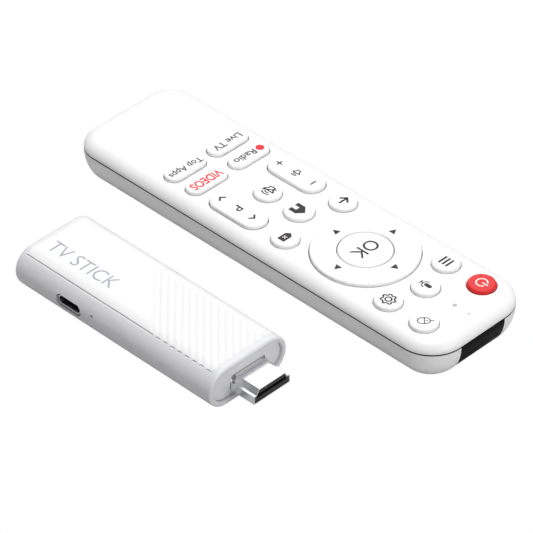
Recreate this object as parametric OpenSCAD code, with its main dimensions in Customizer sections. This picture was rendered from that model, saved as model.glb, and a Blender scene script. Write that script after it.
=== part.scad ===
// Streaming media player: a plug-in TV stick and its hand-held remote control,
// lying side by side, both pointing along +X.
// Origin: centre of the pair's footprint, on the surface that they lie on. Units: mm.

/* [Remote case] */
// Length of the remote
remote_l = 143.5; // [142:0.1:146]
// Width of the remote at its seam
remote_w = 40.7; // [40.5:0.1:42]
// Height of the remote's top face
remote_h = 15; // [15:0.1:15.6]
// Height of the seam between the two shells
seam_z = 11.2; // [11:0.1:11.4]
// Gap left open at each seam
seam_gap = 0.25; // [0.15:0.05:0.3]
// Plan corner radius at the front of the remote
front_r = 11; // [10:0.5:12]
// Plan corner radius at the back of the remote
back_r = 8.6; // [8.4:0.1:10]
// Wall thickness of the remote's shells
remote_wall = 1.6; // [1.4:0.1:1.7]
// Width of the infrared window in the front face
window_w = 17.7; // [16:0.1:19]

/* [Keys] */
// Distance of the D-pad's centre behind the front end
pad_back = 44.7; // [44:0.1:46]
// Diameter of the D-pad ring
ring_d = 31.6; // [31:0.1:32]
// Diameter of the OK key
ok_d = 16; // [15.5:0.1:16.2]
// Diameter of the small round keys
key_d = 8.3; // [8:0.1:8.6]
// Diameter of the home key
home_d = 9.1; // [8.8:0.1:9.3]
// Distance of the side columns of keys from the centreline
key_side = 11.8; // [11.6:0.1:12]
// Length of the two rocker keys
rocker_l = 20; // [19:0.1:20.5]
// Width of the two rocker keys
rocker_w = 8.5; // [8:0.1:8.8]
// Length of the four shortcut keys
app_l = 14.7; // [14:0.1:15]
// Width of the four shortcut keys
app_w = 5.8; // [5.4:0.1:6.2]
// Height of the key caps above the top face
key_up = 1; // [0.8:0.1:1.2]
// How far a key goes down
key_travel = 0.4; // [0.3:0.05:0.4]

/* [Stick case] */
// Length of the stick's case without its plug
stick_l = 78.7; // [77:0.1:80]
// Width of the stick
stick_w = 30; // [29.6:0.1:31]
// Thickness of the stick
stick_t = 13; // [12.8:0.1:13.2]
// Wall thickness of the stick's case
stick_wall = 1.5; // [1.3:0.1:1.6]
// Height of the seam round the stick's top cover
cover_z = 12.2; // [12.1:0.1:12.3]
// Spacing of the diagonal ribs on the top cover, square to the ribs
rib_pitch = 2; // [1.8:0.1:2.4]
// Distance from the back end to where the ribs start, on the centreline
rib_start = 41; // [38:0.1:44]

/* [Plug and sockets] */
// Width of the HDMI plug's shell
plug_w = 13.9; // [13.85:0.05:13.95]
// Height of the HDMI plug's shell
plug_h = 4.45; // [4.4:0.05:4.5]
// Length of the plug in front of the case
plug_out = 8.9; // [8.8:0.1:11]
// Distance of the USB-C socket from the back end
usb_from_back = 22.4; // [21:0.1:24]
// Distance of the reset hole from the back end
reset_from_back = 31.8; // [30.5:0.1:34]

/* [Layout] */
// Free space between the stick and the remote
pair_gap = 17.8; // [10:0.1:30]
// How far the plug's tip lies behind the remote's front end
tip_back = 29.2; // [20:0.1:35]

/* [Hidden] */

// A short overshoot that makes a cut run clean through a face
cut = 1;

// Centrelines and ends of the two devices
total_w = remote_w + pair_gap + stick_w;
remote_y = total_w / 2 - remote_w / 2;
stick_y = stick_w / 2 - total_w / 2;
front_x = remote_l / 2;
back_x = -remote_l / 2;
tip_x = front_x - tip_back;
stick_front = tip_x - plug_out;
stick_back = stick_front - stick_l;

// Heights inside the remote
top_edge = 4.5;
belly_inset = 8;
roof = 1.2;
roof_z = remote_h - roof;
cap_z = remote_h + key_up;
board_z = 11.8;
board_t = 0.7;
board_top = board_z + board_t;
flange_z = board_top + 0.35 + key_travel;
flange_t = 0.35;
flange_out = 0.8;
key_gap = 0.25;
floor_t = 1.4;
door_t = 1;
lip_t = 0.6;
lip_gap = 0.1;
lip_root = seam_z - 1.6;
crown_z = seam_z + seam_gap;

// Key positions along X
pad_x = front_x - pad_back;
power_x = front_x - 11.4;
menu_x = front_x - 24.8;
voice_x = front_x - 21.7;
back_key_x = front_x - 64.6;
home_x = front_x - 70.6;
rocker_x = front_x - 83.1;
app_front_x = front_x - 99.3;
app_back_x = front_x - 108;
app_side = 8.6;
led_x = front_x - 10.8;
mic_x = front_x - 5.5;

// Round keys: [x, y from the centreline, diameter]
ROUND_KEYS = [
    [power_x, key_side, key_d], [power_x, -key_side, key_d],
    [menu_x, key_side, key_d], [menu_x, -key_side, key_d],
    [voice_x, 0, key_d], [back_key_x, key_side, key_d], [back_key_x, -key_side, key_d],
    [home_x, 0, home_d], [rocker_x, 0, key_d]];
// Shortcut keys: [x, y from the centreline]
APP_KEYS = [[app_front_x, app_side], [app_front_x, -app_side],
    [app_back_x, app_side], [app_back_x, -app_side]];

// Batteries, AAA size, and their bay
cell_d = 10.5;
cell_l = 44.5;
nub_l = 0.8;
nub_d = 3.8;
cell_y = 5.45;
cell_z = 1.15 + cell_d / 2;
bay_back = back_x + 5.2;
bay_l = cell_l + 4.5;
bay_front = bay_back + bay_l;
plate_t = 0.3;
door_w = 24;
door_front = bay_front + 3;
door_gap = 0.15;

// Screws that hold the boards
screw_r = 0.7;
remote_screw_y = 15.2;
REMOTE_SCREWS = [[pad_x + 13.15, remote_screw_y], [pad_x + 13.15, -remote_screw_y],
    [pad_x - 14.05, remote_screw_y], [pad_x - 14.05, -remote_screw_y]];

// Inside of the stick
stick_r = stick_t / 2;
end_round = 1.6;
rim = 1.7;
cap_recess = 0.5;
cap_t = 1.4;
cover_rim = 2.4;
cover_under = 0.8;
cover_half = 10.8;
stick_board_z = 4.1;
stick_board_t = 1;
stick_board_top = stick_board_z + stick_board_t;
stick_board_half = 12.6;
stick_board_front = stick_front - 11.1;
stick_board_back = stick_back + 2.5;
plug_z = stick_t / 2 - plug_h / 2;
plug_back = stick_front - 10.9;
plug_skin = 0.3;
usb_x = stick_back + usb_from_back;
usb_w = 8.94;
usb_h = 3.16;
usb_z = stick_board_top + usb_h / 2 + 0.02;
usb_skin = 0.3;
usb_mouth = 0.6;
usb_depth = 7.35;
reset_x = stick_back + reset_from_back;
reset_z = stick_t / 2 + 1.4;
chip_x = stick_back + 40;
chip_t = 1.3;
pad_t = 0.8;
STICK_SCREWS = [[stick_back + 6, 9], [stick_back + 6, -9],
    [stick_front - 14, 10.4], [stick_front - 14, -10.4]];

white = "#f4f4f2";
cap_white = "#fbfbfa";
grey = "#b9b9bd";
metal = "#c9ccd0";
board_green = "#1f5a3a";
black = "#1c1c1e";
gold = "#c9a24a";
red = "#e8262c";

// ---------- shared shapes ----------

// Rounded rectangle whose front and back corners have their own radii
module plan(inset) {
    w = remote_w / 2 - inset;
    fr = max(front_r - inset, 0.6);
    br = max(back_r - inset, 0.6);
    hull() {
        for (s = [-1, 1]) {
            translate([front_x - inset - fr, s * (w - fr)]) circle(r = fr, $fn = 40);
            translate([back_x + inset + br, s * (w - br)]) circle(r = br, $fn = 40);
        }
    }
}

// Solid with the remote's plan, its side following a list of [inset, height] points
module rounded_form(side, wall) {
    w = remote_w / 2 - wall;
    fr = front_r - wall;
    br = back_r - wall;
    x0 = back_x + wall;
    x1 = front_x - wall;
    low = side[0][1];
    high = side[len(side) - 1][1];
    translate([0, remote_y, 0]) {
        // middle stretch, and the two ends between their corners
        translate([x0 + br, 0, 0]) rotate([90, 0, 90]) linear_extrude(x1 - x0 - fr - br)
            polygon(concat([for (p = side) [w - p[0], p[1]]],
                [for (i = [len(side) - 1 : -1 : 0]) [side[i][0] - w, side[i][1]]]));
        translate([0, w - fr, 0]) rotate([90, 0, 0]) linear_extrude(2 * (w - fr))
            polygon(concat([[x1 - fr - 1, low]], [for (p = side) [x1 - p[0], p[1]]],
                [[x1 - fr - 1, high]]));
        translate([0, w - br, 0]) rotate([90, 0, 0]) linear_extrude(2 * (w - br))
            polygon(concat([[x0 + br + 1, low]], [for (p = side) [x0 + p[0], p[1]]],
                [[x0 + br + 1, high]]));
        // corners: [centre x, centre y, radius, turn]
        for (c = [[x1 - fr, w - fr, fr, 0], [x0 + br, w - br, br, 90],
            [x0 + br, br - w, br, 180], [x1 - fr, fr - w, fr, 270]])
            translate([c[0], c[1], 0]) rotate([0, 0, c[3]]) rotate_extrude(angle = 90, $fn = 64)
                polygon(concat([[0, low]], [for (p = side) [c[2] - p[0], p[1]]], [[0, high]]));
    }
}

// The remote's crown, drawn in by a wall thickness. Its side is upright from low to start.
module remote_crown(wall, low, start, ceiling, edge) {
    rounded_form(concat(low < start ? [[0, low]] : [],
        [for (a = [0 : 15 : 90]) [edge * (1 - cos(a)), start + (ceiling - start) * sin(a)]]), wall);
}

// The remote's boat-shaped belly. Its side is upright from start to high.
module remote_belly(wall, floor, start, high, inset) {
    rounded_form(concat(
        [for (a = [90 : -10 : 0]) [inset * (1 - cos(a)), start - (start - floor) * sin(a)]],
        high > start ? [[0, high]] : []), wall);
}

// A box given by its lowest and highest corners
module block(low, high) {
    translate(low) cube(high - low);
}

// Outline with round ends, standing in the YZ plane and pushed along X
module stadium_x(x0, x1, half_w, r, z_mid) {
    translate([x0, stick_y, z_mid]) rotate([90, 0, 90]) linear_extrude(x1 - x0) {
        square([2 * (half_w - r), 2 * r], center = true);
        for (s = [-1, 1]) translate([s * (half_w - r), 0]) circle(r = r, $fn = 64);
    }
}

// Capsule lying in plan, its long side along X
module capsule(l, w, h) {
    linear_extrude(h) {
        square([l - w, w], center = true);
        for (s = [-1, 1]) translate([s * (l - w) / 2, 0]) circle(d = w, $fn = 40);
    }
}

// Round post with an eased top edge
module eased_post(d, h, ease) {
    rotate_extrude($fn = 64) polygon(concat([[0, 0], [d / 2, 0]],
        [for (a = [0 : 15 : 90]) [d / 2 - ease * (1 - cos(a)), h - ease * (1 - sin(a))]],
        [[0, h]]));
}

// ---------- keys ----------

// Round key: cap, and a flange that keeps it under the roof
module round_key(x, y, d) {
    translate([x, remote_y + y, flange_z]) {
        cylinder(d = d + 2 * flange_out, h = flange_t, $fn = 64);
        eased_post(d, cap_z - flange_z, 0.5);
    }
}

// Long key with round ends and an eased top edge
module long_key(x, y, l, w, turn) {
    translate([x, remote_y + y, flange_z]) rotate([0, 0, turn]) hull()
        for (s = [-1, 1]) translate([s * (l - w) / 2, 0, 0])
            rotate_extrude($fn = 32) polygon([[0, 0], [w / 2, 0],
                [w / 2, cap_z - flange_z - 0.4], [w / 2 - 0.15, cap_z - flange_z - 0.12],
                [w / 2 - 0.5, cap_z - flange_z], [0, cap_z - flange_z]]);
}

// Everything that is open for the keys, grown by a gap, from one height to another
module key_openings(z0, z1, gap) {
    h = z1 - z0;
    translate([0, remote_y, z0]) {
        for (k = ROUND_KEYS) translate([k[0], k[1], 0]) cylinder(d = k[2] + 2 * gap, h = h, $fn = 64);
        for (k = APP_KEYS) translate([k[0], k[1], 0]) rotate([0, 0, 90])
            capsule(app_l + 2 * gap, app_w + 2 * gap, h);
        for (s = [-1, 1]) translate([rocker_x, s * key_side, 0])
            capsule(rocker_l + 2 * gap, rocker_w + 2 * gap, h);
        translate([pad_x, 0, 0]) cylinder(d = ring_d + 2 * gap + 0.1, h = h, $fn = 96);
    }
}

module power_key() { color(red) round_key(power_x, key_side, key_d); }
module mouse_key() { color(cap_white) round_key(power_x, -key_side, key_d); }
module menu_key() { color(cap_white) round_key(menu_x, key_side, key_d); }
module settings_key() { color(cap_white) round_key(menu_x, -key_side, key_d); }
module voice_key() { color(cap_white) round_key(voice_x, 0, key_d); }
module back_key() { color(cap_white) round_key(back_key_x, key_side, key_d); }
module delete_key() { color(cap_white) round_key(back_key_x, -key_side, key_d); }
module home_key() { color(cap_white) round_key(home_x, 0, home_d); }
module mute_key() { color(cap_white) round_key(rocker_x, 0, key_d); }
module ok_key() {
    color(cap_white) translate([pad_x, remote_y, flange_z])
        eased_post(ok_d, cap_z - flange_z, 0.3);
}
module volume_rocker() { color(cap_white) long_key(rocker_x, key_side, rocker_l, rocker_w, 0); }
module channel_rocker() { color(cap_white) long_key(rocker_x, -key_side, rocker_l, rocker_w, 0); }
module app_key(i) {
    color(cap_white) long_key(APP_KEYS[i][0], APP_KEYS[i][1], app_l, app_w, 90);
}

// Soft carrier under the D-pad ring, which tips one way while the ring tips the other
module dpad_pad() {
    color(grey) translate([pad_x, remote_y, board_top + 0.65]) difference() {
        cylinder(d = ring_d - 1.6, h = 0.4, $fn = 96);
        translate([0, 0, -cut]) cylinder(d = ok_d + 1, h = 3, $fn = 64);
    }
}

// D-pad ring with a shallow dish between its two edges
module dpad_ring() {
    low = board_top + 1.45;
    inner = ok_d / 2 + 0.3;
    outer = ring_d / 2;
    mid = (inner + outer) / 2;
    color(cap_white) translate([pad_x, remote_y, 0]) rotate_extrude($fn = 96)
        polygon([[inner, low], [outer, low], [outer, cap_z - 0.4], [outer - 0.12, cap_z - 0.12],
            [outer - 0.4, cap_z], [mid, cap_z - 0.15], [inner + 0.2, cap_z - 0.1],
            [inner, cap_z - 0.3]]);
}

// ---------- remote case ----------

module remote_top_shell() {
    color(white) difference() {
        remote_crown(0, crown_z, crown_z, remote_h, top_edge);
        remote_crown(remote_wall, seam_z - cut, crown_z + 0.3, roof_z, top_edge - 2.3);
        key_openings(roof_z - cut, remote_h + cut, key_gap);
        translate([led_x, remote_y, roof_z - cut]) cylinder(d = 1.3, h = 3, $fn = 24);
        translate([mic_x, remote_y, roof_z - cut]) cylinder(d = 0.8, h = 3, $fn = 24);
    }
}

// Rounded shape of the infrared window, pushed through the front wall
module window_cut(gap) {
    r = 4;
    half = window_w / 2 + gap;
    translate([front_x - 12, remote_y, 0]) rotate([90, 0, 90]) linear_extrude(20) {
        polygon([[-half, seam_z + cut], [-half, 1 + r - gap], [half, 1 + r - gap], [half, seam_z + cut]]);
        polygon([[-half + r, 1 + r], [-half + r, 1 - gap], [half - r, 1 - gap], [half - r, 1 + r]]);
        for (s = [-1, 1]) translate([s * (half - r), 1 + r - gap]) circle(r = r, $fn = 48);
    }
}

// The door's own space in the floor, open to the back
module door_space(gap, height) {
    block([back_x - cut, remote_y - door_w / 2 - gap, -cut],
        [door_front + gap, remote_y + door_w / 2 + gap, height]);
}

module remote_bottom_shell() {
    color(white) difference() {
        union() {
            difference() {
                remote_belly(0, 0, seam_z, seam_z, belly_inset);
                remote_belly(remote_wall, floor_t, lip_root, seam_z + cut, belly_inset - 1.8);
                window_cut(0.05);
            }
            // lip that locates the top shell, on a thicker root below the seam
            difference() {
                union() {
                    rounded_form([[0, lip_root], [0, seam_z]], remote_wall);
                    rounded_form([[0, seam_z - 0.5], [0, seam_z + 1]], remote_wall + lip_gap);
                }
                rounded_form([[0, lip_root - cut], [0, seam_z + 2]], remote_wall + lip_gap + lip_t);
                block([front_x - 8, remote_y - window_w / 2 - 0.5, 0],
                    [front_x, remote_y + window_w / 2 + 0.5, remote_h]);
            }
            // posts for the board
            for (p = REMOTE_SCREWS) translate([p[0], remote_y + p[1], floor_t + 2.2])
                cylinder(r = 2, h = board_z - floor_t - 2.2, $fn = 32);
            // walls of the battery bay
            for (x = [bay_back - 1.2, bay_front])
                block([x, remote_y - 11.6, 0.6], [x + 1.2, remote_y + 11.6, 10.5]);
            for (s = [-1, 1]) block([bay_back - 1.2, remote_y + s * 11.6 - 0.5, 0.6],
                [bay_front + 1.2, remote_y + s * 11.6 + 0.5, 10.5]);
        }
        door_space(door_gap, door_t + 0.15);
        // way into the bay from below
        block([bay_back, remote_y - 11.1, -cut], [bay_front, remote_y + 11.1, floor_t + cut]);
        for (p = REMOTE_SCREWS) translate([p[0], remote_y + p[1], 4])
            cylinder(r = screw_r, h = 20, $fn = 24);
    }
}

// Sliding battery door, drawn off backwards
module battery_door() {
    color(white) difference() {
        intersection() {
            remote_belly(0, 0, seam_z, seam_z, belly_inset);
            door_space(0, door_t);
        }
        // finger grooves
        for (i = [0 : 4]) block([door_front - 12 + i * 1.8, remote_y - 6, -cut],
            [door_front - 11.1 + i * 1.8, remote_y + 6, 0.3]);
    }
}

module ir_window() {
    thick = 1.2;
    color(black) intersection() {
        window_cut(0);
        // a band of the front wall, bent like the belly
        translate([0, remote_y + window_w, 0]) rotate([90, 0, 0]) linear_extrude(2 * window_w)
            polygon(concat(
                [for (a = [0 : 10 : 70]) [front_x - belly_inset * (1 - cos(a)), seam_z * (1 - sin(a))]],
                [for (a = [70 : -10 : 0])
                    [front_x - thick - belly_inset * (1 - cos(a)), seam_z * (1 - sin(a))]]));
    }
}

// ---------- inside the remote ----------

module ir_led() {
    color("#2a2230") {
        translate([front_x - 11.5, remote_y, 7.6]) rotate([0, 90, 0]) {
            cylinder(r = 2.5, h = 6, $fn = 48);
            translate([0, 0, 6]) sphere(r = 2.5, $fn = 48);
            translate([0, 0, -0.6]) cylinder(r = 2.9, h = 0.8, $fn = 48);
        }
        for (s = [-1, 1]) {
            block([front_x - 14, remote_y + s * 1.27 - 0.25, 7.35],
                [front_x - 12, remote_y + s * 1.27 + 0.25, 7.85]);
            block([front_x - 14.5, remote_y + s * 1.27 - 0.25, 7.35],
                [front_x - 14, remote_y + s * 1.27 + 0.25, board_z]);
        }
    }
}

module remote_board() {
    color(board_green) difference() {
        translate([0, remote_y, board_z]) linear_extrude(board_t) plan(2.9);
        for (p = REMOTE_SCREWS) translate([p[0], remote_y + p[1], board_z - cut])
            cylinder(r = screw_r + 0.1, h = 3, $fn = 24);
    }
}

// Silicone mat with a window for each key
module key_mat() {
    color(grey) difference() {
        translate([0, remote_y, board_top + 0.05]) linear_extrude(0.9) plan(4.6);
        key_openings(board_top - cut, roof_z, flange_out + 0.4);
        for (p = REMOTE_SCREWS) translate([p[0], remote_y + p[1], board_top - cut])
            cylinder(r = 1.6, h = 3, $fn = 32);
        block([front_x - 13, remote_y - 2.6, board_top - cut],
            [front_x, remote_y + 2.6, board_top + 3]);
    }
}

// Snap domes on the board, one under each point that is pressed
module key_domes() {
    pad_arm = 11.6;
    rocker_arm = rocker_l / 2 - 4;
    spots = concat([for (k = ROUND_KEYS) [k[0], k[1]]], APP_KEYS, [[pad_x, 0]],
        [for (a = [0 : 90 : 270]) [pad_x + pad_arm * cos(a), pad_arm * sin(a)]],
        [for (s = [-1, 1]) for (t = [-1, 1]) [rocker_x + t * rocker_arm, s * key_side]]);
    color(metal) for (p = spots) translate([p[0], remote_y + p[1], board_top])
        cylinder(r1 = 2.2, r2 = 1.2, h = 0.22, $fn = 32);
}

module remote_chip() {
    color(black) {
        block([pad_x - 3.5, remote_y - 3.5, board_z - 0.9], [pad_x + 3.5, remote_y + 3.5, board_z]);
        block([pad_x + 8, remote_y - 1.3, board_z - 0.8], [pad_x + 11.2, remote_y + 1.3, board_z]);
        block([pad_x - 11, remote_y + 4, board_z - 1], [pad_x - 8, remote_y + 6, board_z]);
    }
}

module microphone() {
    color(gold) block([mic_x - 1.4, remote_y - 1.9, board_top], [mic_x + 1.4, remote_y + 1.9, board_top + 1]);
}

// Lamp on the board and the light pipe that shows through the roof
module indicator_led() {
    color("#3a3a3c") {
        block([led_x - 1, remote_y - 0.8, board_top], [led_x + 1, remote_y + 0.8, board_top + 0.5]);
        translate([led_x, remote_y, board_top + 0.5])
            cylinder(r = 0.6, h = remote_h - 0.1 - board_top - 0.5, $fn = 24);
    }
}

module remote_screws() {
    color(metal) for (p = REMOTE_SCREWS) translate([p[0], remote_y + p[1], 0]) {
        translate([0, 0, board_top]) cylinder(r = 1.3, h = 0.6, $fn = 32);
        translate([0, 0, 6]) cylinder(r = screw_r, h = board_top - 6, $fn = 24);
    }
}

module battery_contacts() {
    color(metal) for (x = [bay_back, bay_front - plate_t]) for (s = [-1, 1])
        block([x, remote_y + s * cell_y - 4, 2.2], [x + plate_t, remote_y + s * cell_y + 4, 10]);
}

// Conical coil along +X: one closed tube swept along a helix
module coil(length, r0, r1, turns, wire) {
    sides = 6;
    steps = 12 * turns;
    points = [for (i = [0 : steps]) for (j = [0 : sides - 1])
        let (f = i / steps, a = 360 * turns * f, b = 360 * j / sides,
            r = r0 + (r1 - r0) * f + wire * cos(b))
        [wire + (length - 2 * wire) * f + wire * sin(b), r * cos(a), r * sin(a)]];
    faces = concat(
        [for (i = [0 : steps - 1]) for (j = [0 : sides - 1])
            [i * sides + j, i * sides + (j + 1) % sides,
                (i + 1) * sides + (j + 1) % sides, (i + 1) * sides + j]],
        [[for (j = [sides - 1 : -1 : 0]) j]],
        [[for (j = [0 : sides - 1]) steps * sides + j]]);
    polyhedron(points, faces);
}

module battery_springs() {
    room = bay_l - 2 * plate_t - cell_l;
    color(metal) {
        translate([bay_back + plate_t, remote_y + cell_y, cell_z]) coil(room, 3.6, 2.4, 4, 0.3);
        translate([bay_front - plate_t, remote_y - cell_y, cell_z]) mirror([1, 0, 0])
            coil(room, 3.6, 2.4, 4, 0.3);
    }
}

// One AAA cell, its plus end pointing along +X
module cell() {
    rotate([0, 90, 0]) {
        cylinder(d = cell_d, h = cell_l - nub_l, $fn = 64);
        cylinder(d = nub_d, h = cell_l, $fn = 32);
    }
}

module batteries() {
    color(gold) {
        translate([bay_front - plate_t - cell_l, remote_y + cell_y, cell_z]) cell();
        translate([bay_back + plate_t + cell_l, remote_y - cell_y, cell_z]) mirror([1, 0, 0]) cell();
    }
}

// ---------- stick case ----------

// The stick's outer form: a flat tube with eased ends
module stick_form() {
    hull()
        for (a = [0 : 15 : 90]) {
            inset = end_round * (1 - sin(a));
            run = end_round * (1 - cos(a));
            stadium_x(stick_back + run, stick_front - run, stick_w / 2 - inset,
                stick_r - inset, stick_t / 2);
        }
}

// The opening that the top cover fills, with a gap all round
module cover_space(gap) {
    block([stick_back + cover_rim - gap, stick_y - stick_w, cover_z - gap],
        [stick_front - cover_rim + gap, stick_y + stick_w, stick_t + cut]);
    block([stick_back + cover_rim + 1.2 - gap, stick_y - cover_half - gap, cover_z - cover_under - gap],
        [stick_front - cover_rim - 1.2 + gap, stick_y + cover_half + gap, stick_t + cut]);
}

module stick_base_shell() {
    color(grey) difference() {
        union() {
            difference() {
                stick_form();
                stadium_x(stick_back + stick_wall, stick_front - cap_recess - cap_t,
                    stick_w / 2 - stick_wall, stick_r - stick_wall, stick_t / 2);
            }
            // posts for the board
            for (p = STICK_SCREWS) translate([p[0], stick_y + p[1], 0.8])
                cylinder(r = 1.8, h = stick_board_z - 0.8, $fn = 32);
        }
        cover_space(0.08);
        // seat of the end cap
        stadium_x(stick_front - cap_recess - cap_t - cut, stick_front + cut,
            stick_w / 2 - rim, stick_r - rim, stick_t / 2);
        // mouth of the USB-C socket
        translate([usb_x, stick_y - stick_w / 2 + 4, usb_z]) rotate([90, 0, 0])
            capsule(9.2, 3.4, 6);
        // reset hole
        translate([reset_x, stick_y - stick_w / 2 + 3, reset_z]) rotate([90, 0, 0])
            cylinder(r = 0.5, h = 6, $fn = 24);
        for (p = STICK_SCREWS) translate([p[0], stick_y + p[1], 1.6])
            cylinder(r = screw_r, h = 8, $fn = 24);
    }
}

// Top cover with shallow diagonal grooves over its front half
module stick_top_cover() {
    step = rib_pitch * sqrt(2);
    first = stick_back + rib_start;
    count = floor((stick_l - rib_start + 2 * stick_w) / step);
    color(white) difference() {
        intersection() {
            stick_form();
            cover_space(0);
        }
        intersection() {
            block([first - stick_w, stick_y - stick_w, stick_t - 0.25],
                [stick_front - cover_rim - 0.6, stick_y + stick_w, stick_t + cut]);
            for (i = [0 : count]) translate([first + i * step, stick_y, stick_t])
                rotate([0, 0, -45]) cube([2 * stick_w, 0.8, cut * 2], center = true);
        }
    }
}

// Outline of the plug: full width at its base, narrower at the top
module plug_outline(skin) {
    half = plug_w / 2 - skin;
    narrow = 10.1 / 2 - skin * 0.6;
    polygon([[-half, skin], [half, skin], [half, 2.9 - skin * 0.4], [narrow, plug_h - skin],
        [-narrow, plug_h - skin], [-half, 2.9 - skin * 0.4]]);
}

// The plug's outline pushed along X
module plug_run(x0, x1, skin) {
    translate([x0, stick_y, plug_z]) rotate([90, 0, 90]) linear_extrude(x1 - x0) plug_outline(skin);
}

module stick_end_cap() {
    color(grey) difference() {
        stadium_x(stick_front - cap_recess - cap_t, stick_front - cap_recess,
            stick_w / 2 - rim - 0.05, stick_r - rim - 0.05, stick_t / 2);
        plug_run(plug_back, tip_x, -0.12);
    }
}

module hdmi_plug_shell() {
    color(metal) difference() {
        plug_run(plug_back, tip_x, 0);
        plug_run(plug_back - cut, tip_x + cut, plug_skin);
    }
}

module hdmi_plug_insulator() {
    slot_h = 1.1;
    color(black) difference() {
        plug_run(plug_back, tip_x - 0.25, plug_skin);
        block([tip_x - 8, stick_y - 5.6, plug_z + plug_h / 2 - slot_h / 2 - 0.1],
            [tip_x + cut, stick_y + 5.6, plug_z + plug_h / 2 + slot_h / 2 - 0.1]);
        for (i = [-9 : 9]) block([plug_back - cut, stick_y + i * 0.5 - 0.14, plug_z + 1.2],
            [tip_x - 0.9, stick_y + i * 0.5 + 0.14, plug_z + 1.7]);
    }
}

// Nineteen contact fingers, from the board to just behind the mouth
module hdmi_contacts() {
    color(gold) for (i = [-9 : 9]) {
        block([plug_back - 0.9, stick_y + i * 0.5 - 0.13, plug_z + 1.25],
            [tip_x - 1.2, stick_y + i * 0.5 + 0.13, plug_z + 1.55]);
        block([plug_back - 1.2, stick_y + i * 0.5 - 0.13, stick_board_top],
            [plug_back - 0.9, stick_y + i * 0.5 + 0.13, plug_z + 1.55]);
    }
}

// ---------- inside the stick ----------

module stick_board() {
    color(board_green) difference() {
        block([stick_board_back, stick_y - stick_board_half, stick_board_z],
            [stick_board_front, stick_y + stick_board_half, stick_board_top]);
        for (p = STICK_SCREWS) translate([p[0], stick_y + p[1], 3])
            cylinder(r = screw_r + 0.15, h = 4, $fn = 24);
    }
}

module processor_chip() {
    color(black) block([chip_x - 7, stick_y - 7, stick_board_top],
        [chip_x + 7, stick_y + 7, stick_board_top + chip_t]);
}

module memory_chips() {
    color(black) for (s = [-1, 1])
        block([chip_x + 11, stick_y + s * 5.2 - 4, stick_board_top],
            [chip_x + 21, stick_y + s * 5.2 + 4, stick_board_top + 1]);
}

module wifi_module() {
    color(metal) {
        block([stick_back + 11, stick_y - 1, stick_board_top],
            [stick_back + 24, stick_y + 11, stick_board_top + 0.6]);
        block([stick_back + 11.6, stick_y - 0.4, stick_board_top + 0.6],
            [stick_back + 23.4, stick_y + 10.4, stick_board_top + 2]);
    }
}

module antenna() {
    color(gold) block([stick_back + 10, stick_y + 12.1, stick_board_top],
        [stick_back + 36, stick_y + 12.4, stick_board_top + 3]);
}

module thermal_pad() {
    color("#8fa3c4") block([chip_x - 6.5, stick_y - 6.5, stick_board_top + chip_t],
        [chip_x + 6.5, stick_y + 6.5, stick_board_top + chip_t + pad_t]);
}

module heat_sink() {
    base = stick_board_top + chip_t + pad_t;
    half = 8.7;
    fin_t = 0.8;
    fin_step = (2 * half - fin_t) / 6;
    color(metal) {
        block([chip_x - 13, stick_y - half, base], [chip_x + 20, stick_y + half, base + 1.2]);
        for (i = [0 : 6]) block([chip_x - 13, stick_y - half + i * fin_step, base + 1.2],
            [chip_x + 20, stick_y - half + i * fin_step + fin_t, cover_z - cover_under - 0.4]);
    }
}

module usb_c_shell() {
    color(metal) translate([usb_x, stick_y - stick_w / 2 + usb_mouth, usb_z]) rotate([-90, 0, 0])
        difference() {
            capsule(usb_w, usb_h, usb_depth);
            translate([0, 0, -cut]) capsule(usb_w - 2 * usb_skin, usb_h - 2 * usb_skin, usb_depth + 0.4);
        }
}

module usb_c_tongue() {
    color(black) block([usb_x - 3.35, stick_y - stick_w / 2 + usb_mouth + 1.6, usb_z - 0.35],
        [usb_x + 3.35, stick_y - stick_w / 2 + usb_mouth + usb_depth - 0.6, usb_z + 0.35]);
}

module reset_switch() {
    face_y = stick_y - stick_w / 2 + 2.8;
    color(black) difference() {
        block([reset_x - 2, face_y, stick_board_top], [reset_x + 2, face_y + 3, stick_board_top + 3.8]);
        translate([reset_x, face_y - cut, reset_z]) rotate([-90, 0, 0])
            cylinder(r = 0.68, h = cut + 1, $fn = 32);
    }
}

// The switch's plunger, pressed through the hole with a pin
module reset_plunger() {
    face_y = stick_y - stick_w / 2 + 2.8;
    color(black) translate([reset_x, face_y - 1, reset_z]) rotate([-90, 0, 0])
        cylinder(r = 0.6, h = 1.6, $fn = 32);
}

module board_capacitors() {
    color("#8a6b4a") {
        for (i = [0 : 3]) block([stick_back + 25 + i * 1.9, stick_y - 4.5, stick_board_top],
            [stick_back + 26.4 + i * 1.9, stick_y - 3.7, stick_board_top + 0.8]);
        for (i = [0 : 2]) block([stick_back + 5 + i * 1.8, stick_y - 3, stick_board_top],
            [stick_back + 6 + i * 1.8, stick_y - 1, stick_board_top + 0.9]);
    }
}

module stick_screws() {
    color(metal) for (p = STICK_SCREWS) translate([p[0], stick_y + p[1], 0]) {
        translate([0, 0, stick_board_top]) cylinder(r = 1.3, h = 0.7, $fn = 32);
        translate([0, 0, 2]) cylinder(r = screw_r, h = stick_board_top - 2, $fn = 24);
    }
}

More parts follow.
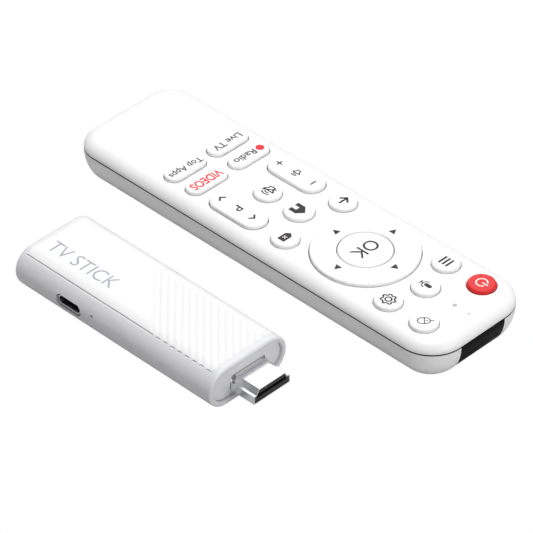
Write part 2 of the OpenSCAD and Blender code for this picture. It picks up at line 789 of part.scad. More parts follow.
stick_base_shell();
stick_top_cover();
stick_end_cap();
hdmi_plug_shell();
hdmi_plug_insulator();
hdmi_contacts();
stick_board();
processor_chip();
memory_chips();
wifi_module();
antenna();
thermal_pad();
heat_sink();
usb_c_shell();
usb_c_tongue();
reset_switch();
reset_plunger();
board_capacitors();
stick_screws();
remote_top_shell();
remote_bottom_shell();
battery_door();
ir_window();
ir_led();
remote_board();
key_mat();
key_domes();
remote_chip();
microphone();
indicator_led();
remote_screws();
battery_contacts();
battery_springs();
batteries();
power_key();
mouse_key();
menu_key();
settings_key();
voice_key();
back_key();
delete_key();
home_key();
mute_key();
ok_key();
dpad_pad();
dpad_ring();
volume_rocker();
channel_rocker();
app_key(0);  // app_key_1
app_key(1);  // app_key_2
app_key(2);  // app_key_3
app_key(3);  // app_key_4
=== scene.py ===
# A streaming media player: a plug-in TV stick and its hand-held remote control, lying side by side.
# Both point along +X. Sizes are in metres, worked out from the CAD frame or written as millimetres * MM.
import math

import bmesh
import bpy
from mathutils import Matrix, Vector


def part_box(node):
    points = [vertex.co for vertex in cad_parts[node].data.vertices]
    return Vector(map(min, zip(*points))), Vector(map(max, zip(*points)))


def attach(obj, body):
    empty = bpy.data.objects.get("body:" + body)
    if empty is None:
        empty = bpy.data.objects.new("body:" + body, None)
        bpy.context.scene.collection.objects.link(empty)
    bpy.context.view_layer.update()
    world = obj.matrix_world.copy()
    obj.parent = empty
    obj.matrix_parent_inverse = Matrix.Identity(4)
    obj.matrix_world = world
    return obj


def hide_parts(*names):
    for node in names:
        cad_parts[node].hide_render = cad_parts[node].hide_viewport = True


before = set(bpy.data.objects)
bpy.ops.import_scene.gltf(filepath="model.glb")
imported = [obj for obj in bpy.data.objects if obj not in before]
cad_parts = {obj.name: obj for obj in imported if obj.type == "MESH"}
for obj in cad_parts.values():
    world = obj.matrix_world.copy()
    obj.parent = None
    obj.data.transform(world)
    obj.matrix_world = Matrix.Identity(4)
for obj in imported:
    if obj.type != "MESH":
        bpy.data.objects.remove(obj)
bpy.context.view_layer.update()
MM = 0.001

# ------------------------------------------------------------------------------------------------
# Camera, floor and light. A long lens looks down on the pair from the plug's side, over a plain
# white floor. One softbox hangs overhead, a weak one stands in front of the plug's end, and a broad
# one lights the far side.
# ------------------------------------------------------------------------------------------------


def linear(hex_code):
    """Turn an sRGB hex colour into linear RGBA."""
    parts = [int(hex_code[i:i + 2], 16) / 255 for i in (1, 3, 5)]
    return tuple(c / 12.92 if c <= 0.04045 else ((c + 0.055) / 1.055) ** 2.4 for c in parts) + (1.0,)


def add(tree, kind, sockets=None, **settings):
    """Add a shader node. A socket takes a value, or another node's output to link from."""
    made = tree.nodes.new("ShaderNode" + kind)
    for name, value in settings.items():
        setattr(made, name, value)
    for name, value in (sockets or {}).items():
        if isinstance(value, bpy.types.NodeSocket):
            tree.links.new(value, made.inputs[name])
        else:
            made.inputs[name].default_value = value
    return made


AZIMUTH = math.radians(44.55)
ELEVATION = math.radians(38.4)
CAMERA_DISTANCE = 1127.8 * MM
AIM = Vector((-1.35, 13.2, 0)) * MM
FOCAL_LENGTH, FILM_WIDTH = 267.0, 36.0
FLOOR_REACH = 30
FLOOR_DROP = 0.02 * MM
ROOM_LIGHT = 0.28

camera = bpy.data.objects.new("camera", bpy.data.cameras.new("camera"))
bpy.context.scene.collection.objects.link(camera)
camera.data.lens = FOCAL_LENGTH
camera.data.sensor_width = FILM_WIDTH
camera.data.clip_start = 0.05
away = Vector((math.sin(AZIMUTH) * math.cos(ELEVATION), -math.cos(AZIMUTH) * math.cos(ELEVATION),
               math.sin(ELEVATION)))
camera.location = AIM + away * CAMERA_DISTANCE
camera.rotation_euler = away.to_track_quat("Z", "Y").to_euler()
bpy.context.scene.camera = camera

floor_mesh = bpy.data.meshes.new("floor")
floor_bm = bmesh.new()
bmesh.ops.create_grid(floor_bm, x_segments=1, y_segments=1, size=FLOOR_REACH)
bmesh.ops.translate(floor_bm, vec=(0, 0, -FLOOR_DROP), verts=floor_bm.verts)
floor_bm.to_mesh(floor_mesh)
floor = bpy.data.objects.new("floor", floor_mesh)
bpy.context.scene.collection.objects.link(floor)

# Photographer's white sweep, lit until it shows as plain white to the lens.
sweep = bpy.data.materials.new("white_paper_sweep")
sweep.use_nodes = True
sweep_tree = sweep.node_tree
sweep_tree.nodes.clear()
paper = add(sweep_tree, "BsdfDiffuse", {"Color": linear("#bababa")})
glow = add(sweep_tree, "Emission", {"Color": linear("#ffffff"), "Strength": 1.0})
seen = add(sweep_tree, "LightPath")
sweep_mix = add(sweep_tree, "MixShader", {"Fac": seen.outputs["Is Camera Ray"], 1: paper.outputs[0],
                                          2: glow.outputs[0]})
add(sweep_tree, "OutputMaterial", {"Surface": sweep_mix.outputs[0]})
floor_mesh.materials.append(sweep)

studio = bpy.data.worlds.new("studio")
bpy.context.scene.world = studio
studio.use_nodes = True
studio.node_tree.nodes["Background"].inputs["Color"].default_value = linear("#ffffff")
studio.node_tree.nodes["Background"].inputs["Strength"].default_value = ROOM_LIGHT


def softbox(name, place, size, power):
    """Hang a square softbox at a place in millimetres, facing the middle of the pair."""
    lamp = bpy.data.objects.new(name, bpy.data.lights.new(name, "AREA"))
    bpy.context.scene.collection.objects.link(lamp)
    lamp.data.size = size * MM
    lamp.data.energy = power
    lamp.location = Vector(place) * MM
    lamp.rotation_euler = Vector(place).to_track_quat("Z", "Y").to_euler()


softbox("overhead_box", (-80, 60, 1500), 400, 14.5)
softbox("front_box", (900, 0, 300), 400, 2.5)
softbox("far_side_box", (-720, 730, 820), 900, 4.2)

bpy.context.scene.view_settings.view_transform = "Standard"

# ------------------------------------------------------------------------------------------------
# The stick's case: a flat tube of satin white ABS with round sides and eased ends, moulded in one
# piece. It is open in front for the nose and on top for the cover, with a USB-C slot and a reset
# hole in its side. The board is screwed to posts inside.
# ------------------------------------------------------------------------------------------------


def span(node):
    """Lowest and highest corners of a CAD node, in millimetres."""
    low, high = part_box(node)
    return Vector(low) / MM, Vector(high) / MM


WANDER = 18.0  # how far apart the slow changes of shade and gloss lie in a moulded face


def plastic(name, shades, gloss, grain, relief, ior=1.53):
    """Moulded plastic: a fine grain in relief, with a shade and a gloss that wander slightly."""
    made = bpy.data.materials.new(name)
    made.use_nodes = True
    tree = made.node_tree
    shader = tree.nodes["Principled BSDF"]
    shader.inputs["IOR"].default_value = ior
    place = add(tree, "TexCoord").outputs["Object"]
    fine = add(tree, "TexNoise", {"Vector": place, "Scale": 1 / (grain * MM), "Detail": 2.0})
    broad = add(tree, "TexNoise", {"Vector": place, "Scale": 1 / (WANDER * MM), "Detail": 3.0})
    shade = add(tree, "Mix", {0: broad.outputs["Fac"], 6: linear(shades[0]), 7: linear(shades[1])},
                data_type="RGBA")
    polish = add(tree, "MapRange", {"Value": broad.outputs["Fac"], "From Min": 0.3, "From Max": 0.7,
                                    "To Min": gloss - 0.05, "To Max": gloss + 0.05})
    dents = add(tree, "Bump", {"Height": fine.outputs["Fac"], "Distance": relief * MM})
    tree.links.new(shade.outputs[2], shader.inputs["Base Color"])
    tree.links.new(polish.outputs["Result"], shader.inputs["Roughness"])
    tree.links.new(dents.outputs["Normal"], shader.inputs["Normal"])
    return made


def rounding(inward, along, steps=10):
    """Steps of [inset, rise] that take a wall round a quarter ellipse and flat."""
    turns = [math.pi / 2 * i / steps for i in range(steps + 1)]
    return [(inward * (math.cos(a) - math.cos(b)), along * (math.sin(b) - math.sin(a)))
            for a, b in zip(turns, turns[1:])]


def opening_out(inward, along, steps=10):
    """The same steps taken the other way, from flat out to the wall."""
    return [(-inset, rise) for inset, rise in reversed(rounding(inward, along, steps))]


UPRIGHT = Matrix.Identity(4)
UNDERSIDE = Matrix.Diagonal((1, -1, -1, 1))
# Local X to Y, Y to Z and Z to X, for a shape that is pushed along the stick.
ALONG_X = Matrix(((0, 0, 1, 0), (1, 0, 0, 0), (0, 1, 0, 0), (0, 0, 0, 1)))
# Local X to X, Y to Z and Z to -Y, for a shape that is pushed out of the near side.
OUT_OF_SIDE = Matrix(((1, 0, 0, 0), (0, 0, -1, 0), (0, 1, 0, 0), (0, 0, 0, 1)))


def turned(place, size, radii, steps, facing=UPRIGHT, segments=16):
    """A closed solid that grows from a rounded outline at a place, by steps of [inset, rise]."""
    bm = bmesh.new()
    bmesh.ops.create_grid(bm, x_segments=1, y_segments=1, size=0.5)
    bmesh.ops.scale(bm, vec=(size[0], size[1], 1), verts=bm.verts)
    for side, radius in zip((1, -1), radii):
        corners = [v for v in bm.verts
                   if v.co.x * side > size[0] / 2 - 1e-4 and abs(v.co.y) > size[1] / 2 - 1e-4]
        bmesh.ops.bevel(bm, geom=corners, offset=min(radius, min(size) / 2), offset_type="OFFSET",
                        segments=segments, profile=0.5, affect="VERTICES", material=-1)
    bmesh.ops.remove_doubles(bm, verts=bm.verts, dist=0.01)
    bm.faces.ensure_lookup_table()
    face = bm.faces[0]
    for inset, rise in steps:
        bmesh.ops.inset_region(bm, faces=[face], thickness=inset, depth=rise, use_even_offset=True,
                               use_boundary=True)
    bmesh.ops.edgeloop_fill(bm, edges=[e for e in bm.edges if e.is_boundary])
    bmesh.ops.transform(bm, matrix=Matrix.Translation(place) @ facing, verts=bm.verts)
    bmesh.ops.recalc_face_normals(bm, faces=bm.faces)
    return bm


def brick(low, high):
    """A plain block between two corners, as a tool to cut with or a rib to add."""
    bm = bmesh.new()
    low, high = Vector(low), Vector(high)
    bmesh.ops.create_cube(bm, size=1)
    bmesh.ops.scale(bm, vec=high - low, verts=bm.verts)
    bmesh.ops.translate(bm, vec=(low + high) / 2, verts=bm.verts)
    return bm


def stand_in(bm):
    """A passing object that holds a bmesh for a cut."""
    mesh = bpy.data.meshes.new("passing")
    bm.to_mesh(mesh)
    bm.free()
    made = bpy.data.objects.new("passing", mesh)
    bpy.context.scene.collection.objects.link(made)
    return made


def cut(bm, tools, operation="DIFFERENCE"):
    """Cut closed tools out of a closed solid one after the other, or keep only what they share."""
    blank = stand_in(bm)
    held = [stand_in(tool) for tool in tools]
    for tool in held:
        step = blank.modifiers.new("cut", "BOOLEAN")
        step.operation = operation
        step.solver = "EXACT"
        step.object = tool
    bpy.context.view_layer.update()
    result = bmesh.new()
    result.from_object(blank, bpy.context.evaluated_depsgraph_get())
    for used in [blank, *held]:
        mesh = used.data
        bpy.data.objects.remove(used)
        bpy.data.meshes.remove(mesh)
    bmesh.ops.remove_doubles(result, verts=result.verts, dist=1e-4)
    bmesh.ops.dissolve_degenerate(result, edges=result.edges, dist=1e-4)
    return result


def joined(first, *others):
    """Put several bmeshes into the first one."""
    for other in others:
        mesh = bpy.data.meshes.new("passing")
        other.to_mesh(mesh)
        other.free()
        first.from_mesh(mesh)
        bpy.data.meshes.remove(mesh)
    return first


def piece(name, bm, body, material, replaced=(), crease=32):
    """Make a bmesh in millimetres a finished piece, and say what it rides on and replaces."""
    bmesh.ops.scale(bm, vec=(MM, MM, MM), verts=bm.verts)
    mesh = bpy.data.meshes.new(name)
    bm.to_mesh(mesh)
    bm.free()
    mesh.materials.append(material)
    mesh.shade_smooth()
    mesh.set_sharp_from_angle(angle=math.radians(crease))
    made = bpy.data.objects.new(name, mesh)
    bpy.context.scene.collection.objects.link(made)
    smooth = made.modifiers.new("even_shading", "WEIGHTED_NORMAL")
    smooth.keep_sharp = True
    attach(made, body)
    if replaced:
        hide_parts(*replaced)
    return made


CASE_LOW, CASE_HIGH = span("stick_base_shell")
STICK_SIZE = CASE_HIGH - CASE_LOW
STICK_Y = (CASE_LOW.y + CASE_HIGH.y) / 2
STICK_MID = Vector((CASE_LOW.x, STICK_Y, STICK_SIZE.z / 2))
STICK_ROUND = STICK_SIZE.z / 2
STICK_WALL = 1.5
BACK_EASE, FRONT_EASE = 1.6, 0.9
RIM = 1.7  # width of the case's edge round the nose
MOUTH_FLARE = 0.25
NOSE_DEPTH = 1.9
COVER_LOW, COVER_HIGH = span("stick_top_cover")
COVER_SEAM = 12.2  # height of the cover's edge
SEAM_GAP = 0.3
END_GAP = 0.03
COVER_LEDGE = 10.8
LEDGE_END, LEDGE_DROP = 1.2, 0.9
SOCKET_MOUTH = (10.2, 4.2)
RESET_HOLE = 1.0
POST_D, POST_TALL = 3.6, 3.3
SCREW_HEAD_R = 1.3


def stadium(x0, inset, steps):
    """A solid with the stick's round-sided outline, drawn in by an inset and pushed along X."""
    return turned((x0, STICK_Y, STICK_MID.z), (STICK_SIZE.y - 2 * inset, STICK_SIZE.z - 2 * inset),
                  (STICK_ROUND - inset,) * 2, steps, ALONG_X, segments=24)


usb_low, usb_high = span("usb_c_shell")
usb_mid = (usb_low + usb_high) / 2
reset_low, reset_high = span("reset_plunger")
reset_mid = (reset_low + reset_high) / 2
side_y = CASE_LOW.y

case_tools = [
    stadium(CASE_LOW.x + STICK_WALL, STICK_WALL, [(0, STICK_SIZE.x - STICK_WALL - NOSE_DEPTH)]),
    stadium(CASE_HIGH.x - NOSE_DEPTH - 1, RIM,
            [(0, NOSE_DEPTH + 1 - MOUTH_FLARE), (-MOUTH_FLARE, MOUTH_FLARE), (0, 1)]),
    brick((COVER_LOW.x - END_GAP, CASE_LOW.y - 1, COVER_SEAM - SEAM_GAP),
          (COVER_HIGH.x + END_GAP, CASE_HIGH.y + 1, STICK_SIZE.z + 1)),
    brick((COVER_LOW.x + LEDGE_END, STICK_Y - COVER_LEDGE, COVER_SEAM - LEDGE_DROP),
          (COVER_HIGH.x - LEDGE_END, STICK_Y + COVER_LEDGE, STICK_SIZE.z + 1)),
    turned((usb_mid.x - 0.1, side_y + 4, usb_mid.z - 0.15), SOCKET_MOUTH, (SOCKET_MOUTH[1] / 2,) * 2,
           [(0, 3.8), (-0.1, 0.1), (-0.15, 0.1), (0, 2)], OUT_OF_SIDE),
    turned((reset_mid.x, side_y + 3, reset_mid.z), (RESET_HOLE, RESET_HOLE), (RESET_HOLE / 2,) * 2,
           [(0, 2.9), (-0.1, 0.1), (0, 1)], OUT_OF_SIDE, segments=8)]
case_blank = stadium(CASE_LOW.x, BACK_EASE,
                     opening_out(BACK_EASE, BACK_EASE) + [(0, STICK_SIZE.x - BACK_EASE - FRONT_EASE)]
                     + rounding(FRONT_EASE, FRONT_EASE))
case = cut(case_blank, case_tools)
# The posts at the front stand further apart, beside the plug.
screw_low, screw_high = span("stick_screws")
posts = []
for x, out in ((screw_low.x + SCREW_HEAD_R, 9.0), (screw_high.x - SCREW_HEAD_R, 10.4)):
    for side in (1, -1):
        posts.append(turned((x, STICK_Y + side * out, 0.8), (POST_D, POST_D), (POST_D / 2,) * 2,
                            [(0, POST_TALL)], segments=8))

# Injection-moulded ABS with a fine satin spark finish. It is white, a touch cooler than the cover,
# and the grain takes the edge off its shine. The grain is 0.25 mm, coarser than real, so that it shows.
satin_abs_case = plastic("satin_abs_case", ("#e0e0e3", "#e6e6e8"), 0.42, 0.25, 0.004)
piece("stick_case", joined(case, *posts), "stick", satin_abs_case, ["stick_base_shell"])

# ------------------------------------------------------------------------------------------------
# The stick's cover: a shallow white ABS lid, clipped into the case. It is smooth at the back and has
# rounded diagonal ribs over its front half, which run out over its edges. Thin letters are printed
# on the smooth half.
# ------------------------------------------------------------------------------------------------
RIB_PITCH = 2.0
RIB_DEPTH = 0.34
RIB_FADE = 0.24  # how much of their depth the grooves lose for each millimetre down the round sides
RIB_START = 41.0  # from the back of the case to the first groove, along the middle
SHEET_STEP = RIB_PITCH * math.sqrt(2) / 10
COVER_PROUD = 0.06  # how far the cover stands above the case's round
SHUT_OUT = 0.48  # how far the hem reaches out to the case where it is drawn shut
PLATE_GAP, PLATE_T = 0.2, 0.8
cover_size = COVER_HIGH - COVER_LOW


def groove(x, y):
    """How deep the surface lies in a groove between two ribs, from 0 on a rib to 1."""
    along = (x - CASE_LOW.x - RIB_START + y - STICK_Y) / math.sqrt(2) / RIB_PITCH
    return 1 - abs(math.sin(math.pi * along)) ** 0.5 if along > 0 else 0.0


def cover_height(x, y):
    """Height of the cover's surface: the stick's round top, less grooves that fade on its sides."""
    out = max(abs(y - STICK_Y) - (STICK_SIZE.y / 2 - STICK_ROUND), 0)
    height = STICK_ROUND + math.sqrt(STICK_ROUND ** 2 - out ** 2) + COVER_PROUD
    return height - RIB_DEPTH * (1 - RIB_FADE * out) * groove(x, y)


def hem(x, y):
    """The cover's lower edge below a point: open along the near side, but drawn shut under each rib."""
    shut = COVER_SEAM - SEAM_GAP + 0.02
    if abs(y - STICK_Y) < cover_size.y / 2 - 0.01:
        return Vector((x, y, shut))
    ribbed = x - CASE_LOW.x - RIB_START + y - STICK_Y > 0
    open_by = 0 if y > STICK_Y else min(5 * groove(x, y), 1) if ribbed else 1
    out = math.copysign(SHUT_OUT * (1 - open_by), y - STICK_Y)
    return Vector((x, y + out, shut + open_by * (COVER_SEAM - shut)))


def points(result):
    """The vertices in what an extrusion gives back."""
    return [v for v in result["geom"] if isinstance(v, bmesh.types.BMVert)]


cover = bmesh.new()
bmesh.ops.create_grid(cover, x_segments=round(cover_size.x / SHEET_STEP),
                      y_segments=round(cover_size.y / SHEET_STEP), size=0.5)
bmesh.ops.scale(cover, vec=(cover_size.x, cover_size.y, 1), verts=cover.verts)
bmesh.ops.translate(cover, vec=((COVER_LOW.x + COVER_HIGH.x) / 2, STICK_Y, 0), verts=cover.verts)
for vert in cover.verts:
    vert.co.z = cover_height(vert.co.x, vert.co.y)
turned_down = bmesh.ops.extrude_edge_only(cover, edges=[e for e in cover.edges if e.is_boundary])
for vert in points(turned_down):
    vert.co = hem(vert.co.x, vert.co.y)
bmesh.ops.edgeloop_fill(cover, edges=[e for e in cover.edges if e.is_boundary])
bmesh.ops.recalc_face_normals(cover, faces=cover.faces)
plate_end, plate_half = LEDGE_END + PLATE_GAP, COVER_LEDGE - PLATE_GAP
rim_plate = brick((COVER_LOW.x + plate_end, STICK_Y - plate_half, COVER_SEAM - PLATE_T),
                  (COVER_HIGH.x - plate_end, STICK_Y + plate_half, COVER_SEAM))

# The same ABS in a brighter white, with a slightly smoother face than the case.
satin_abs_white = plastic("satin_abs_white", ("#ebebec", "#f0f0f0"), 0.4, 0.25, 0.003)
piece("stick_cover", joined(cover, rim_plate), "stick", satin_abs_white,
      ["stick_top_cover"], crease=60)

INK = 0.02  # thickness of a printed film
LETTERS_FROM_BACK, LETTERS_OFF_MIDDLE = 18, 4.6
# Signs read towards -Y with their tops towards +X. Letters on the stick read towards +X.
READING_DOWN = Matrix(((0, 1, 0, 0), (-1, 0, 0, 0), (0, 0, 1, 0), (0, 0, 0, 1)))


def ink(name, shade):
    """Pad-printed ink: a thin matt film, very slightly uneven."""
    return plastic(name, (shade, shade), 0.55, 0.12, 0.001, ior=1.5)


def word(text, width, height, weight=0.0):
    """Flat letters of a given overall width and height, centred."""
    letters = bpy.data.curves.new("letters", "FONT")
    letters.body = text
    letters.offset = weight
    letters.resolution_u = 6
    holder = bpy.data.objects.new("letters", letters)
    bpy.context.scene.collection.objects.link(holder)
    bpy.context.view_layer.update()
    bm = bmesh.new()
    flat = bpy.data.meshes.new_from_object(holder.evaluated_get(bpy.context.evaluated_depsgraph_get()))
    bm.from_mesh(flat)
    bpy.data.objects.remove(holder)
    bpy.data.curves.remove(letters)
    bpy.data.meshes.remove(flat)
    xs, ys = [v.co.x for v in bm.verts], [v.co.y for v in bm.verts]
    left, right, bottom, top = min(xs), max(xs), min(ys), max(ys)
    bmesh.ops.translate(bm, vec=(-(left + right) / 2, -(bottom + top) / 2, 0), verts=bm.verts)
    bmesh.ops.scale(bm, vec=(width / (right - left), height / (top - bottom), 1), verts=bm.verts)
    return bm


def printed(name, marks, place, body, material, facing=READING_DOWN):
    """Lay flat marks at a place as a film of ink on a face."""
    bm = joined(*marks)
    bmesh.ops.remove_doubles(bm, verts=bm.verts, dist=1e-4)
    lifted = bmesh.ops.extrude_face_region(bm, geom=bm.faces[:])
    bmesh.ops.translate(bm, vec=(0, 0, INK), verts=points(lifted))
    bmesh.ops.recalc_face_normals(bm, faces=bm.faces)
    bmesh.ops.transform(bm, matrix=Matrix.Translation(place) @ facing, verts=bm.verts)
    return piece(name, bm, body, material, crease=20)


cool_grey_ink = ink("cool_grey_ink", "#a2a2ae")
printed("stick_letters", [word("TV STICK", 26, 4.8, -0.009)],
        (CASE_LOW.x + LETTERS_FROM_BACK, STICK_Y - LETTERS_OFF_MIDDLE, STICK_SIZE.z + COVER_PROUD),
        "stick", cool_grey_ink, UPRIGHT)

# ------------------------------------------------------------------------------------------------
# The stick's nose: a pillow-shaped plate of grey-white ABS, pressed into the open front of the case.
# The plug comes out of its middle, with a notch and a small round catch at each upper corner.
# ------------------------------------------------------------------------------------------------
NOSE_LOW, NOSE_HIGH = span("stick_end_cap")
NOSE_T = NOSE_HIGH.x - NOSE_LOW.x
PLUG_LOW, PLUG_HIGH = span("hdmi_plug_shell")
plug_size = PLUG_HIGH - PLUG_LOW
plug_mid = (PLUG_LOW + PLUG_HIGH) / 2
PLUG_SKIN = 0.3
PLUG_LEDGE = 0.9
PLUG_SHOULDER = 2.75
PLUG_TOP_HALF = 5.05
PLUG_FIT = 0.12
LOWER_BEND, UPPER_BEND = 0.12, 0.3
NOTCH_OUT, NOTCH_HALF, NOTCH_DEEP = 5.8, 0.7, 0.9
CATCH_OUT, CATCH_D = 7.1, 1.1

# A pillow: its edge lies back behind the rim, and its middle comes almost level with the rim.
swell = [(0.6, 0.24), (0.6, 0.21), (0.6, 0.18), (0.6, 0.13), (0.8, 0.1), (1.0, 0.05)]
nose = stadium(NOSE_LOW.x, RIM + 0.1, [(0, NOSE_T - 0.65)] + rounding(0.15, 0.15, 3) + swell)


def plug_run(x0, x1, skin):
    """The plug's outline, stepped in over a ledge to a narrow top, less a skin, pushed along X."""
    half = plug_size.y / 2 - skin
    ledge = plug_size.y / 2 - PLUG_LEDGE - 0.7 * skin
    top_half = PLUG_TOP_HALF - 0.7 * skin
    shoulder = PLUG_LOW.z + PLUG_SHOULDER - skin
    base, top = PLUG_LOW.z + skin, PLUG_HIGH.z - skin
    right = [(half, base), (half, shoulder), (ledge, shoulder + 0.03), (top_half, top)]
    outline = right + [(-y, z) for y, z in reversed(right)]
    bm = bmesh.new()
    bm.faces.new([bm.verts.new((x0, STICK_Y + y, z)) for y, z in outline])
    upper = [v for v in bm.verts if v.co.z > top - 0.01]
    lower = [v for v in bm.verts if v not in upper]
    for corners, radius in ((lower, LOWER_BEND), (upper, UPPER_BEND)):
        bmesh.ops.bevel(bm, geom=corners, offset=radius * (1 - skin), offset_type="OFFSET", segments=4,
                        profile=0.5, affect="VERTICES", material=-1)
    pushed = bmesh.ops.extrude_face_region(bm, geom=bm.faces[:])
    bmesh.ops.translate(bm, vec=(x1 - x0, 0, 0), verts=points(pushed))
    bmesh.ops.recalc_face_normals(bm, faces=bm.faces)
    return bm


notches = [brick((NOSE_HIGH.x - NOTCH_DEEP, STICK_Y + side * NOTCH_OUT - NOTCH_HALF, PLUG_LOW.z + 3.1),
                 (NOSE_HIGH.x + 1, STICK_Y + side * NOTCH_OUT + NOTCH_HALF, PLUG_HIGH.z + PLUG_FIT))
           for side in (1, -1)]
nose = cut(nose, [plug_run(NOSE_LOW.x - 1, NOSE_HIGH.x + 1, -PLUG_FIT), *notches])
catches = [turned((NOSE_HIGH.x - 1, STICK_Y + side * CATCH_OUT, PLUG_LOW.z + 3.5), (CATCH_D, CATCH_D),
                  (CATCH_D / 2,) * 2, [(0, 1.35)] + rounding(CATCH_D / 2, CATCH_D / 2, 6),
                  ALONG_X, segments=6)
           for side in (1, -1)]
# The case's ABS in a lighter grey-white, with the same satin face. The lighter shade is painted light: it
# lifts the nose out of the shade that the rim round it casts.
satin_abs_nose_painted_light = plastic("satin_abs_nose_painted_light", ("#e6e6e8", "#ebebed"), 0.4, 0.25, 0.004)
piece("stick_nose", joined(nose, *catches), "stick", satin_abs_nose_painted_light, ["stick_end_cap"])

# ------------------------------------------------------------------------------------------------
# The HDMI plug: a shell of thin nickel-plated steel, folded round a black nylon insulator that holds
# nineteen gold-plated contacts. The USB-C socket and the plug are stamped from the same strip.
# ------------------------------------------------------------------------------------------------
STREAK_RUN = 40  # how many times longer than wide a streak is


def metal(name, shades, polish, streak, relief, direction=(1, STREAK_RUN, STREAK_RUN)):
    """Plated, drawn or rolled metal: streaks along the way it was worked, in shade, gloss and relief."""
    made = bpy.data.materials.new(name)
    made.use_nodes = True
    tree = made.node_tree
    shader = tree.nodes["Principled BSDF"]
    shader.inputs["Metallic"].default_value = 1.0
    place = add(tree, "TexCoord").outputs["Object"]
    drawn = add(tree, "Mapping", {"Vector": place, "Scale": direction})
    streaks = add(tree, "TexNoise", {"Vector": drawn.outputs["Vector"], "Detail": 3.0,
                                     "Scale": 1 / (STREAK_RUN * streak * MM)})
    shade = add(tree, "Mix", {0: streaks.outputs["Fac"], 6: linear(shades[0]), 7: linear(shades[1])},
                data_type="RGBA")
    gloss = add(tree, "MapRange", {"Value": streaks.outputs["Fac"], "From Min": 0.3, "From Max": 0.7,
                                   "To Min": polish - 0.06, "To Max": polish + 0.06})
    marks = add(tree, "Bump", {"Height": streaks.outputs["Fac"], "Distance": relief * MM})
    tree.links.new(shade.outputs[2], shader.inputs["Base Color"])
    tree.links.new(gloss.outputs["Result"], shader.inputs["Roughness"])
    tree.links.new(marks.outputs["Normal"], shader.inputs["Normal"])
    return made


# Bright nickel over rolled steel: nearly a mirror, with faint lengthwise streaks 0.2 mm apart.
plated_steel = metal("nickel_plated_steel", ("#dcdde0", "#f0f0f2"), 0.2, 0.2, 0.001)
shell = cut(plug_run(PLUG_LOW.x, PLUG_HIGH.x, 0), [plug_run(PLUG_LOW.x - 1, PLUG_HIGH.x + 1, PLUG_SKIN)])
piece("plug_shell", shell, "stick", plated_steel, ["hdmi_plug_shell"])


def finish(material, *nodes):
    """Give CAD nodes whose shape is right their material."""
    for node in nodes:
        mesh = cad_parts[node].data
        mesh.materials.clear()
        mesh.materials.append(material)


# Glass-filled nylon: black, with a dry face that shows the fibres as a faint fleck.
black_nylon = plastic("black_nylon", ("#1f1f20", "#262627"), 0.5, 0.2, 0.004)
SLOT_DEEP, SLOT_HALF_WIDE, SLOT_HALF = 8, 5.6, 0.55
INSULATOR_SHY = 0.25
CONTACTS, CONTACT_PITCH, CONTACT_HALF = 19, 0.5, 0.14
slot_mid = plug_mid.z - 0.1
slot = brick((PLUG_HIGH.x - SLOT_DEEP, STICK_Y - SLOT_HALF_WIDE, slot_mid - SLOT_HALF),
             (PLUG_HIGH.x + 1, STICK_Y + SLOT_HALF_WIDE, slot_mid + SLOT_HALF))
channels = []
for i in range(CONTACTS):
    y = STICK_Y + (i - CONTACTS // 2) * CONTACT_PITCH
    channels.append(brick((PLUG_LOW.x - 1, y - CONTACT_HALF, PLUG_LOW.z + 1.2),
                          (PLUG_HIGH.x - 0.9, y + CONTACT_HALF, PLUG_LOW.z + 1.7)))
insulator = cut(plug_run(PLUG_LOW.x, PLUG_HIGH.x - INSULATOR_SHY, PLUG_SKIN), [slot, *channels])
piece("plug_insulator", insulator, "stick", black_nylon, ["hdmi_plug_insulator"])
# Gold over nickel, polished by rolling: warm and bright.
gold_contact = metal("gold_plated_contact", ("#c9a04a", "#d9b45e"), 0.24, 0.05, 0.0005)
SOCKET_SHY = 0.75  # how far the socket's rim stays behind the side
SOCKET_WIDE, SOCKET_TALL, SOCKET_SKIN = 8.94, 3.16, 0.3


def socket_run(back, skin, run):
    """The socket's outline less a skin, pushed out of the side from behind its back end."""
    return turned((usb_mid.x, usb_high.y + back, usb_mid.z), (SOCKET_WIDE - 2 * skin, SOCKET_TALL - 2 * skin),
                  (SOCKET_TALL / 2 - skin,) * 2, [(0, run)], OUT_OF_SIDE)


socket = cut(socket_run(0, 0, usb_high.y - side_y - SOCKET_SHY), [socket_run(1, SOCKET_SKIN, 12)])
piece("usb_socket", socket, "stick", plated_steel, ["usb_c_shell"])
finish(black_nylon, "usb_c_tongue")
finish(gold_contact, "hdmi_contacts", "antenna")

# ------------------------------------------------------------------------------------------------
# The stick's works: a green glass-epoxy board with moulded chips, a tinned shield can, ceramic
# capacitors and an extruded aluminium heat sink on a soft pad, held by four small screws. The reset
# switch has a black acetal plunger behind the hole.
# ------------------------------------------------------------------------------------------------


def board(name):
    """Solder mask over copper: dark green, with lighter tracks about 0.15 mm wide in relief."""
    made = bpy.data.materials.new(name)
    made.use_nodes = True
    tree = made.node_tree
    shader = tree.nodes["Principled BSDF"]
    shader.inputs["Roughness"].default_value = 0.3
    place = add(tree, "TexCoord").outputs["Object"]
    tracks = add(tree, "TexBrick", {"Vector": place, "Scale": 1 / (1.2 * MM), "Mortar Size": 0.12,
                                    "Color1": linear("#0f4a2c"), "Color2": linear("#125534"),
                                    "Mortar": linear("#1c7044")})
    proud = add(tree, "Bump", {"Height": tracks.outputs["Fac"], "Distance": 0.02 * MM})
    tree.links.new(tracks.outputs["Color"], shader.inputs["Base Color"])
    tree.links.new(proud.outputs["Normal"], shader.inputs["Normal"])
    return made


green_board = board("solder_masked_board")
